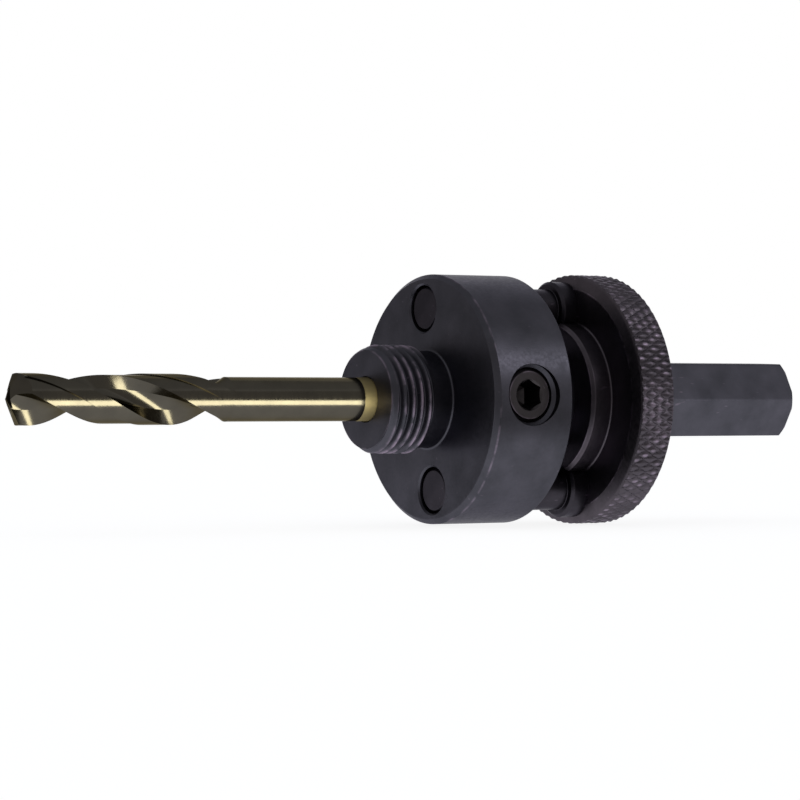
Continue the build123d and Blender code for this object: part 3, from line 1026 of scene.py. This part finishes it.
def nitrile_rubber():
    """Black nitrile rubber, moulded: dull, with a fine grain that scatters the light."""
    material, tree = new_material("moulded_nitrile_rubber")
    place = add_node(tree, "ShaderNodeTexCoord").outputs["Object"]
    grain = add_node(
        tree,
        "ShaderNodeTexNoise",
        {"Vector": place, "Scale": per_mm(RUBBER_GRAIN_SIZE), "Detail": 3.0},
    )
    gloss = add_node(tree, "ShaderNodeMapRange", {"Value": grain, "To Min": 0.55, "To Max": 0.7})
    relief = add_node(
        tree,
        "ShaderNodeBump",
        {"Height": grain, "Strength": 0.3, "Distance": RUBBER_GRAIN_DEPTH * MM},
    )
    shader = add_node(
        tree,
        "ShaderNodeBsdfPrincipled",
        {"Base Color": linear("#1B1B1C"), "Roughness": gloss, "Normal": relief},
    )
    add_node(tree, "ShaderNodeOutputMaterial", {"Surface": shader})
    return material


def seen_as_white(tree):
    """One for a ray from the camera, a reflection or a refraction, and nought for the rest."""
    rays = add_node(tree, "ShaderNodeLightPath").outputs
    seen = rays["Is Camera Ray"]
    for other in ("Is Glossy Ray", "Is Transmission Ray"):
        seen = add_node(tree, "ShaderNodeMath", {0: seen, 1: rays[other]}, operation="MAXIMUM")
    return seen


def white_floor():
    """A pale floor that the camera and the metal see as white, apart from the object's shadow."""
    material, tree = new_material("white_floor")
    paint = add_node(tree, "ShaderNodeBsdfDiffuse", {"Color": FLOOR_PAINT})
    glow = add_node(
        tree, "ShaderNodeEmission", {"Color": (1, 1, 1, 1), "Strength": FLOOR_GLOW}
    )
    both = add_node(tree, "ShaderNodeAddShader", {0: paint, 1: glow})
    mix = add_node(tree, "ShaderNodeMixShader", {"Fac": seen_as_white(tree), 1: paint, 2: both})
    add_node(tree, "ShaderNodeOutputMaterial", {"Surface": mix})
    return material


def make_floor():
    """A round floor under the ring's lowest point."""
    circle = polar(0, np.array([[0.0], [FLOOR_RADIUS]]), ROUND)
    points = np.stack([circle[..., 1], circle[..., 2], 0 * circle[..., 0]], axis=-1)
    floor = make_piece("floor", [points + np.array([0, 0, cad_box[0][2] / MM])])
    floor.data.materials.append(white_floor())


def make_world():
    """A white surround at the height of the object that fades to grey overhead."""
    world = bpy.data.worlds.new("white_surround")
    world.use_nodes = True
    tree = world.node_tree
    tree.nodes.clear()
    direction = add_node(tree, "ShaderNodeTexCoord").outputs["Generated"]
    fade = add_node(
        tree,
        "ShaderNodeMapRange",
        {
            "Value": add_node(tree, "ShaderNodeSeparateXYZ", {"Vector": direction}).outputs["Z"],
            "From Min": SURROUND_FADE[0],
            "From Max": SURROUND_FADE[1],
            "To Min": 1.0,
            "To Max": OVERHEAD_GREY,
        },
        interpolation_type="SMOOTHSTEP",
    )
    surround = add_node(tree, "ShaderNodeBackground", {"Color": (1, 1, 1, 1), "Strength": fade})
    ambient = add_node(
        tree, "ShaderNodeBackground", {"Color": AMBIENT_COLOUR, "Strength": AMBIENT_LIGHT}
    )
    mix = add_node(
        tree, "ShaderNodeMixShader", {"Fac": seen_as_white(tree), 1: ambient, 2: surround}
    )
    output = add_node(tree, "ShaderNodeOutputWorld", {"Surface": mix})
    output.is_active_output = True
    bpy.context.scene.world = world


def soft_light(name, place, size, brightness, colour, receivers):
    """A soft rectangular lamp at a place in millimetres that faces the centre of the flange.

    Its brightness is what a mirror would show, where the white surround is 1. It lights only its
    receivers, as a small flagged lamp does in a studio.
    """
    lamp = bpy.data.lights.new(name, "AREA")
    lamp.shape = "RECTANGLE"
    lamp.size, lamp.size_y = size[0] * MM, size[1] * MM
    lamp.energy = brightness * math.pi * lamp.size * lamp.size_y
    lamp.color = linear(colour)[:3]
    holder = bpy.data.objects.new(name, lamp)
    holder.location = Vector(place) * MM
    holder.rotation_euler = (-holder.location).to_track_quat("-Z", "Y").to_euler()
    holder.visible_camera = False
    bpy.context.scene.collection.objects.link(holder)
    lit = bpy.data.collections.new(name + "_lit")
    for receiver in receivers:
        lit.objects.link(receiver)
    holder.light_linking.receiver_collection = lit


def grey_paper():
    """The paper of the cards that stand round the object, a third as bright as the white floor."""
    material, tree = new_material("grey_card_paper")
    glow = add_node(tree, "ShaderNodeEmission", {"Color": CARD_COLOUR})
    add_node(tree, "ShaderNodeOutputMaterial", {"Surface": glow})
    return material


def make_cards():
    """Two grey cards that only the metal reflects, so that it has something dark to show.

    One stands in an arc from the back left round to the front right. The other lies on the floor in
    front of the object.
    """
    floor_height = cad_box[0][2] / MM
    arc = np.radians(np.linspace(*CARD_ARC, CARD_STEPS + 1))
    edge = CARD_DISTANCE * np.stack([np.cos(arc), np.sin(arc)], axis=-1)
    upright = np.stack([np.insert(edge, 2, height, axis=1) for height in (floor_height, CARD_TOP)])
    lying = np.array([
        [(side * CARD_DISTANCE, place, floor_height + CARD_LIFT) for side in (-1, 1)]
        for place in (-CARD_DISTANCE, -CARD_NEAR_EDGE)
    ])
    paper = grey_paper()
    for name, sheet in (("standing_card", upright), ("lying_card", lying)):
        card = make_piece(name, [sheet])
        card.data.materials.append(paper)
        card.visible_camera = False
        card.visible_diffuse = False
        card.visible_shadow = False


def make_camera():
    """The photograph's camera, level with the axis."""
    lens = bpy.data.cameras.new("camera")
    lens.sensor_width = SENSOR_WIDTH
    lens.lens = LENS_LENGTH
    lens.clip_start = 0.01
    camera = bpy.data.objects.new("camera", lens)
    camera.location = (VIEW_TARGET + VIEW_DIRECTION * VIEW_DISTANCE) * MM
    camera.rotation_euler = (-VIEW_DIRECTION).to_track_quat("-Z", "Y").to_euler()
    bpy.context.scene.collection.objects.link(camera)
    bpy.context.scene.camera = camera


arbor_steel = blackened_steel(
    "blackened_turned_steel",
    dark="#46464D",
    pale="#55545D",
    roughness=0.38,
    # Painted glints with wear on the thread's crests and on these edges
    crest=(-RELIEF_LENGTH, *THREAD_CREST_GLINT_AND_WEAR),
    edges=(
        (-NOSE_LENGTH, NOSE_FACE_RADIUS),
        (FLANGE_FRONT_CHAMFER, FLANGE_RADIUS),
        (FLANGE_THICKNESS, FLANGE_RADIUS),
        (SHANK_END, SHANK_END_RADIUS),
    ),
)
ring_steel = blackened_steel(
    "blackened_knurled_steel",
    dark="#4C484E",
    pale="#5C565E",
    roughness=0.36,
    # Painted glints with wear on the knurl's crests and on these edges
    crest=(RING_BACK, *KNURL_CREST_GLINT_AND_WEAR),
    edges=((BOSS_FRONT, BOSS_RADIUS - BOSS_CHAMFER), (RING_FACE, RING_FACE_RADIUS)),
)
screw_steel = blackened_steel(
    "blackened_screw_steel",
    dark="#423F41",
    pale="#4E4A4D",
    roughness=0.38,
    centre=(SCREW_POSITION, 0, 0),
    turn=(0, -SCREW_TURN, -math.pi / 2),
    # A painted glint with wear along the face's edge
    edges=((SCREW_FACE, SCREW_RADIUS - SCREW_CHAMFER),),
)
spring_steel = blackened_steel(
    "phosphated_spring_steel", dark="#58585A", pale="#646466", roughness=0.45
)

arbor = arbor_piece()
carve(arbor, hole_tools())
smooth(arbor)
drill, screw, ring = drill_piece(), screw_piece(), ring_piece()
finish(arbor, "arbor", "arbor_steel", arbor_steel, "arbor_body")
finish(drill, "arbor", "drill_steel", gold_drill_steel(), "pilot_drill")
finish(screw, "set_screw", "screw_steel", screw_steel, "set_screw")
finish(ring, "pin_ring", "ring_steel", ring_steel, "pin_ring")
pins = []
for name, turn in (("drive_pin_upper", 0), ("drive_pin_lower", math.pi)):
    pin = pin_piece("ground_" + name, PIN_ANGLE + turn)
    # The pins' colours are darker than the arbor's steel: painted shade of the dark gap between
    # flange and ring where they stand.
    steel = blackened_steel(
        "blackened_steel_with_painted_shade_of_" + name,
        dark="#343238",
        pale="#413E45",
        roughness=0.34,
        centre=pin_centre(PIN_ANGLE + turn),
        # A painted glint with wear along these edges
        edges=(
            (PIN_FRONT + PIN_END_CHAMFER, PIN_RADIUS),
            (PIN_SHOULDER_FRONT, PIN_SHOULDER_RADIUS),
        ),
    )
    finish(pin, "pin_ring", "pin_steel", steel, name)
    pins.append(pin)

for node, material in (("grip_ring", nitrile_rubber()), ("snap_ring", spring_steel)):
    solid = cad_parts[node]
    solid.data.materials.clear()
    solid.data.materials.append(material)

make_floor()
make_world()
make_camera()
make_cards()
soft_light(
    "drill_lamp",
    place=(0, -30, -9),
    size=(112, 12),
    brightness=11.0,
    colour="#FFFADC",
    receivers=[drill],
)
soft_light(
    "window",
    place=(129, -168, 112),
    size=(112, 46),
    brightness=2.7,
    colour="#FCFAFF",
    receivers=[arbor, screw, ring],
)
soft_light(
    "back_lamp",
    place=(130, 120, 165),
    size=(120, 120),
    brightness=0.35,
    colour="#FFFFFF",
    receivers=[arbor, drill, screw, ring, *pins],
)

bpy.context.scene.view_settings.view_transform = "Standard"
